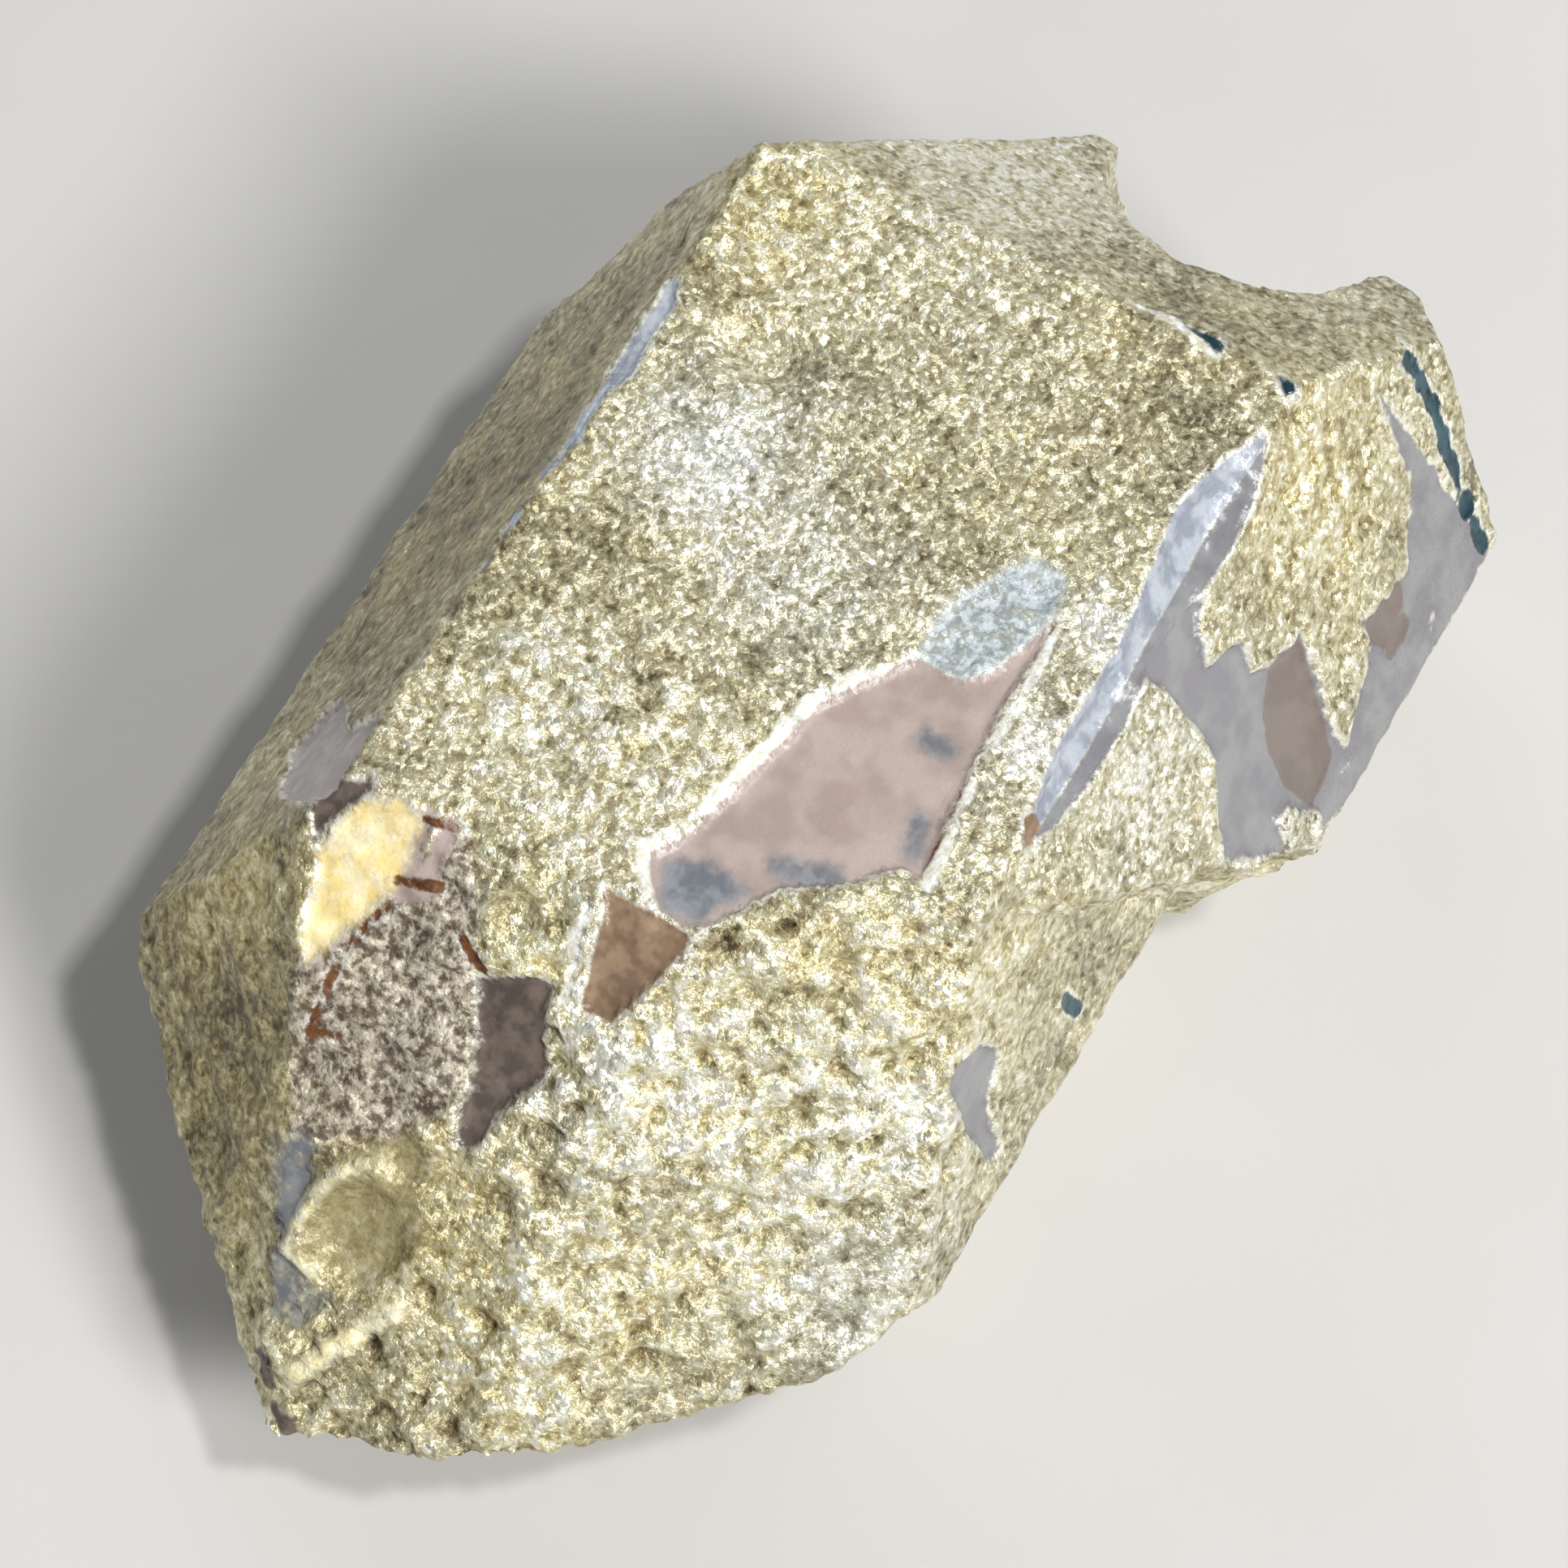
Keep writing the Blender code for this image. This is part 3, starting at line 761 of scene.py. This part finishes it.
    def shape(self, body: bpy.types.Object) -> None:
        """Raise the crust on the crystal's skin and keep what the finish reads.

        Args:
            body: The crystal with its plain skin.
        """
        self.measure(body)
        self.settle_zones()
        self.settle_marks()
        height = self.raise_crust()
        height *= ease(self.places[:, 2], 0.0, self.rest_band_mm)
        moved = self.places + self.normals * height[:, None]
        moved[:, 2] = np.maximum(moved[:, 2], self.places[:, 2].min())
        body.data.vertices.foreach_set("co", (moved * MM).astype(np.float32).ravel())
        body.data.update()
        self.keep(body, "coarse", self.coarse)
        self.keep(body, "light", self.light)
        self.keep(body, "warm", self.warm)
        self.keep(body, "relief", self.relief)
        self.keep(body, "bare_edge", self.bare_edge)
        self.keep(body, "grain", self.grain)
        for marking, away in self.marks.items():
            self.keep(body, marking.name.lower(), away)

    def keep(self, body: bpy.types.Object, name: str, values: np.ndarray) -> None:
        """Keep one value for each point under a name that the material reads."""
        layer = body.data.attributes.new(name, "FLOAT", "POINT")
        layer.data.foreach_set("value", values.astype(np.float32))


class Graph:
    """A material's nodes, with a short call for each kind that the finish repeats."""

    def __init__(self, material: bpy.types.Material) -> None:
        """Start an empty graph and make the place in mm that all patterns read.

        Args:
            material: The material, whose nodes are replaced.
        """
        material.use_nodes = True
        self.tree = material.node_tree
        self.tree.nodes.clear()
        where = self.tree.nodes.new("ShaderNodeTexCoord").outputs["Object"]
        scaled = self.tree.nodes.new("ShaderNodeVectorMath")
        scaled.operation = "SCALE"
        self.plug(scaled.inputs[0], where)
        scaled.inputs["Scale"].default_value = 1 / MM
        self.place = scaled.outputs[0]
        self.clouds: dict[tuple[float, ...], Socket] = {}

    def plug(self, socket: Socket, value: Input) -> None:
        """Link a socket to another, or give it a value."""
        if isinstance(value, bpy.types.NodeSocket):
            self.tree.links.new(value, socket)
        else:
            socket.default_value = value

    def math(self, operation: str, first: Input, second: Input = 0.0, clamp: bool = False) -> Socket:
        """Do one sum.

        Args:
            operation: The kind of sum, such as ADD.
            first: Its first value.
            second: Its second value.
            clamp: Whether the result is kept between 0 and 1.

        Returns:
            The result.
        """
        node = self.tree.nodes.new("ShaderNodeMath")
        node.operation = operation
        node.use_clamp = clamp
        self.plug(node.inputs[0], first)
        self.plug(node.inputs[1], second)
        return node.outputs[0]

    def mix(self, share: Input, first: Input, second: Input) -> Socket:
        """Mix two numbers.

        Args:
            share: The second one's share.
            first: The first number.
            second: The second number.

        Returns:
            The mixture.
        """
        node = self.tree.nodes.new("ShaderNodeMix")
        self.plug(node.inputs[0], share)
        self.plug(node.inputs[2], first)
        self.plug(node.inputs[3], second)
        return node.outputs[0]

    def blend(self, share: Input, first: Input, second: Input, way: str = "MIX") -> Socket:
        """Mix two colours.

        Args:
            share: The second one's share.
            first: The first colour.
            second: The second colour.
            way: How they mix.

        Returns:
            The mixture.
        """
        node = self.tree.nodes.new("ShaderNodeMix")
        node.data_type = "RGBA"
        node.blend_type = way
        self.plug(node.inputs[0], share)
        self.plug(node.inputs[6], first)
        self.plug(node.inputs[7], second)
        return node.outputs[2]

    def ease(self, value: Input, low: float, high: float) -> Socket:
        """Return a value eased from 0 at low to 1 at high."""
        node = self.tree.nodes.new("ShaderNodeMapRange")
        node.interpolation_type = "SMOOTHSTEP"
        self.plug(node.inputs["Value"], value)
        node.inputs["From Min"].default_value = low
        node.inputs["From Max"].default_value = high
        return node.outputs["Result"]

    def read(self, name: str) -> Socket:
        """Return a value that is kept on the skin."""
        node = self.tree.nodes.new("ShaderNodeAttribute")
        node.attribute_name = name
        return node.outputs["Fac"]

    def cloud(self, size_mm: float, detail: float, roughness: float = 0.55, twist: float = 0.0) -> Socket:
        """Make soft noise.

        Args:
            size_mm: Size of the largest lumps.
            detail: How many finer layers are added.
            roughness: How strong the finer layers are.
            twist: How far the noise is bent by itself.

        Returns:
            A value around 0.5.
        """
        kind = (size_mm, detail, roughness, twist)
        if kind in self.clouds:
            return self.clouds[kind]
        node = self.tree.nodes.new("ShaderNodeTexNoise")
        self.plug(node.inputs["Vector"], self.place)
        node.inputs["Scale"].default_value = 1 / size_mm
        node.inputs["Detail"].default_value = detail
        node.inputs["Roughness"].default_value = roughness
        node.inputs["Distortion"].default_value = twist
        self.clouds[kind] = node.outputs["Fac"]
        return node.outputs["Fac"]

    def facets(self, size_mm: float) -> tuple[Socket, Socket]:
        """Break the surface into small flat grains that each lean their own way.

        Args:
            size_mm: Size of a grain.

        Returns:
            Each grain's own shade from 0 to 1, and the height of its leaning face in mm.
        """
        node = self.tree.nodes.new("ShaderNodeTexVoronoi")
        self.plug(node.inputs["Vector"], self.place)
        node.inputs["Scale"].default_value = 1 / size_mm
        away = self.tree.nodes.new("ShaderNodeVectorMath")
        away.operation = "SUBTRACT"
        self.plug(away.inputs[0], self.place)
        self.plug(away.inputs[1], node.outputs["Position"])
        lean = self.tree.nodes.new("ShaderNodeVectorMath")
        lean.operation = "SUBTRACT"
        self.plug(lean.inputs[0], node.outputs["Color"])
        lean.inputs[1].default_value = (0.5, 0.5, 0.5)
        height = self.tree.nodes.new("ShaderNodeVectorMath")
        height.operation = "DOT_PRODUCT"
        self.plug(height.inputs[0], away.outputs[0])
        self.plug(height.inputs[1], lean.outputs[0])
        shade = self.tree.nodes.new("ShaderNodeSeparateColor")
        self.plug(shade.inputs[0], node.outputs["Color"])
        return shade.outputs[0], height.outputs["Value"]

    def ramp(self, value: Input, stops: tuple[tuple[float, str], ...]) -> Socket:
        """Turn a value into a colour.

        Args:
            value: The value.
            stops: Places from 0 to 1 with their colours.

        Returns:
            The colour.
        """
        node = self.tree.nodes.new("ShaderNodeValToRGB")
        band = node.color_ramp
        for place, colour in stops[2:]:
            band.elements.new(place).color = linear(colour)
        for element, (place, colour) in zip(list(band.elements), sorted(stops)):
            element.position = place
            element.color = linear(colour)
        self.plug(node.inputs[0], value)
        return node.outputs[0]


@dataclass(frozen=True)
class CrustFinish:
    """The crystal's finish: a glittering pale crust, and the markings that lie over it."""

    grain_mm: float = 0.16
    clump_mm: float = 0.42
    warm_stops: tuple[tuple[float, str], ...] = (
        (0.1, "#3F3018"), (0.3, "#7B693F"), (0.5, "#BDAC74"), (0.68, "#EADFAF"), (0.86, "#FFFBE6"))
    cool_stops: tuple[tuple[float, str], ...] = (
        (0.1, "#333026"), (0.3, "#6D6956"), (0.5, "#AFAD98"), (0.68, "#E0E0D2"), (0.86, "#FDFEF8"))

    def material(self) -> bpy.types.Material:
        """Make the material.

        Returns:
            The material for the whole crystal.
        """
        made = bpy.data.materials.new("golden_crust_on_quartz")
        graph = Graph(made)
        fine_shade, fine_height = graph.facets(self.grain_mm)
        clump_shade, clump_height = graph.facets(self.clump_mm)
        dust = graph.cloud(0.3, 4, 0.62)
        drift = graph.cloud(2.6, 3, 0.55)
        coarse = graph.read("coarse")
        # The zones' lightness, partly the crust's own tone and partly painted light and shade.
        light = graph.read("light")
        grain = graph.math("SUBTRACT", graph.mix(coarse, fine_shade, clump_shade), 0.5)
        speckle = graph.math("MULTIPLY", graph.math("SUBTRACT", dust, 0.5), 1.3)
        speckle = graph.math("ADD", speckle, graph.math("MULTIPLY", grain, 0.3))
        # Painted shade in the pits and painted light on the raised grains: the colour follows the relief.
        sunk = graph.math("MULTIPLY", graph.math("MULTIPLY", graph.read("relief"), coarse), 0.3)
        speckle = graph.math("ADD", speckle, sunk)
        # Painted shade: the speckle is fainter in the dim zones, as if less light reached the glitter there.
        speckle = graph.math("MULTIPLY", speckle, graph.math("ADD", graph.math("MULTIPLY", light, 0.5), 0.55))
        # The crust's lightness follows the zones and the drift noise, and so carries their painted light and
        # shade.
        tone = graph.math("ADD", light, graph.math("SUBTRACT", drift, 0.5))
        value = graph.math("ADD", graph.math("MULTIPLY", tone, 0.48), 0.29)
        value = graph.math("ADD", value, speckle)
        warm = graph.math("ADD", graph.read("warm"), graph.math("SUBTRACT", drift, 0.5), clamp=True)
        colour = graph.blend(warm, graph.ramp(value, self.cool_stops), graph.ramp(value, self.warm_stops))
        # Painted highlight: a near-white rim along the crust's edge round the bare patches, where its
        # thickness catches the light, broken up by the dust noise.
        edge = graph.ease(graph.read("bare_edge"), 0.24, 0.02)
        edge = graph.math("MULTIPLY", edge, graph.ease(dust, 0.35, 0.6))
        colour = graph.blend(edge, colour, linear("#F8F5E6"))
        roughness = graph.mix(dust, 0.22, 0.5)
        metallic = graph.math("ADD", graph.math("MULTIPLY", graph.ease(value, 0.3, 0.8), 0.35), 0.3)
        clear = 0.0
        fray = graph.math("SUBTRACT", dust, 0.5)
        for marking in Marking:
            tint = marking.value
            ragged = graph.math("MULTIPLY", fray, 2 * tint.ragged_mm)
            away = graph.math("ADD", graph.read(marking.name.lower()), ragged)
            inside = graph.ease(away, tint.soft_mm, -tint.soft_mm)
            mottle = graph.ease(graph.cloud(tint.mottle_mm, 2, 0.62), 0.38, 0.62)
            paint = graph.blend(mottle, linear(tint.colour), linear(tint.mottle))
            colour = graph.blend(inside, colour, paint)
            roughness = graph.mix(inside, roughness, tint.roughness)
            metallic = graph.mix(inside, metallic, tint.metallic)
            if tint.clear or not isinstance(clear, float):
                clear = graph.mix(inside, clear, tint.clear)
        height = graph.math("MULTIPLY", fine_height, 0.8)
        clumps = graph.math("MULTIPLY", graph.math("MULTIPLY", clump_height, coarse), 0.8)
        height = graph.math("ADD", height, clumps)
        height = graph.math("ADD", height, graph.math("MULTIPLY", dust, 0.16))
        height = graph.math("MULTIPLY", height, graph.read("grain"))
        bump = graph.tree.nodes.new("ShaderNodeBump")
        bump.inputs["Distance"].default_value = MM
        graph.plug(bump.inputs["Height"], height)
        shader = graph.tree.nodes.new("ShaderNodeBsdfPrincipled")
        graph.plug(shader.inputs["Base Color"], colour)
        graph.plug(shader.inputs["Roughness"], roughness)
        graph.plug(shader.inputs["Metallic"], metallic)
        graph.plug(shader.inputs["Transmission Weight"], clear)
        graph.plug(shader.inputs["Normal"], bump.outputs["Normal"])
        shader.inputs["IOR"].default_value = 1.54
        output = graph.tree.nodes.new("ShaderNodeOutputMaterial")
        graph.plug(output.inputs["Surface"], shader.outputs["BSDF"])
        return made


@dataclass
class Crystal:
    """The quartz point: its form, its crust and its finish."""

    form: CrystalForm
    finish: CrustFinish
    shift: Vector = Vector((-0.040, 0.002, 0.0)) * MM

    def build(self) -> bpy.types.Object:
        """Build and dress the crystal.

        Returns:
            The finished piece.
        """
        body = self.form.build("crusted_quartz_point")
        CrustRelief(self.form).shape(body)
        body.data.transform(Matrix.Translation(self.shift))
        body.data.materials.clear()
        body.data.materials.append(self.finish.material())
        body.data.shade_smooth()
        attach(body, "root")
        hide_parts("quartz_point")
        return body


@dataclass
class Studio:
    """The pale floor, the soft lights and the camera."""

    camera_place: Vector = Vector((-59.91, -34.51, 160.35)) * MM
    camera_look: Vector = Vector((0.3672, 0.2091, -0.9063))
    focal_px: float = 7261.6
    sensor_mm: float = 36.0
    floor_size: float = 1.6

    def place_camera(self) -> None:
        """Set the camera where the photograph was taken from."""
        camera = bpy.data.cameras.new("camera")
        camera.sensor_width = self.sensor_mm
        camera.lens = self.sensor_mm * self.focal_px / PHOTO_SIZE
        camera.clip_start = 5 * MM
        camera.clip_end = 10.0
        holder = bpy.data.objects.new("camera", camera)
        bpy.context.scene.collection.objects.link(holder)
        holder.location = self.camera_place
        holder.rotation_mode = "QUATERNION"
        holder.rotation_quaternion = self.camera_look.to_track_quat("-Z", "Y")
        bpy.context.scene.camera = holder

    def add_light(self, name: str, place: Vector, size: float, watts: float) -> None:
        """Hang a soft square light that looks at the crystal.

        Args:
            name: Its name.
            place: Where it hangs.
            size: Its side.
            watts: Its power.
        """
        light = bpy.data.lights.new(name, "AREA")
        light.size = size
        light.energy = watts
        holder = bpy.data.objects.new(name, light)
        bpy.context.scene.collection.objects.link(holder)
        holder.location = place
        aim = Vector((0, 0, AXIS_HEIGHT)) - place
        holder.rotation_mode = "QUATERNION"
        holder.rotation_quaternion = aim.to_track_quat("-Z", "Y")

    def light_room(self) -> None:
        """Give the room its dim sky, a broad key light, a small hard one and a fill."""
        world = bpy.data.worlds.new("room")
        bpy.context.scene.world = world
        world.use_nodes = True
        world.node_tree.nodes["Background"].inputs["Color"].default_value = (0.9, 0.95, 1.0, 1.0)
        world.node_tree.nodes["Background"].inputs["Strength"].default_value = 0.22
        self.add_light("key", Vector((-0.10, -0.30, 0.34)), 0.12, 1.9)
        self.add_light("spark", Vector((-0.02, -0.16, 0.42)), 0.03, 0.8)
        self.add_light("fill", Vector((0.30, 0.30, 0.30)), 0.3, 0.5)

    def lay_floor(self, height: float) -> None:
        """Lay the pale floor.

        Args:
            height: How high it lies.
        """
        form = bmesh.new()
        bmesh.ops.create_grid(form, x_segments=4, y_segments=4, size=self.floor_size / 2)
        mesh = bpy.data.meshes.new("floor")
        form.to_mesh(mesh)
        form.free()
        floor = bpy.data.objects.new("floor", mesh)
        floor.location.z = height
        bpy.context.scene.collection.objects.link(floor)
        paper = bpy.data.materials.new("pale_paper")
        graph = Graph(paper)
        shader = graph.tree.nodes.new("ShaderNodeBsdfPrincipled")
        tone = graph.ramp(graph.cloud(30.0, 4), ((0.3, "#C3C1BD"), (0.7, "#CAC8C5")))
        graph.plug(shader.inputs["Base Color"], tone)
        shader.inputs["Roughness"].default_value = 0.8
        output = graph.tree.nodes.new("ShaderNodeOutputMaterial")
        graph.plug(output.inputs["Surface"], shader.outputs["BSDF"])
        mesh.materials.append(paper)

    def build(self, height: float) -> None:
        """Lay the floor and light the room.

        Args:
            height: How high the floor lies.
        """
        self.lay_floor(height)
        self.light_room()


def main() -> None:
    """Build the studio and the crystal, and report the crystal's faces."""
    logging.basicConfig(level=logging.INFO, format="%(name)s: %(message)s")
    bpy.context.scene.view_settings.view_transform = "Standard"
    studio = Studio()
    studio.place_camera()
    crystal = Crystal(CrystalForm(), CrustFinish())
    body = crystal.build()
    LOG.info("%s: %d faces", body.name, len(body.data.polygons))
    studio.build(cad_box[0].z)


if __name__ == "__main__":
    main()
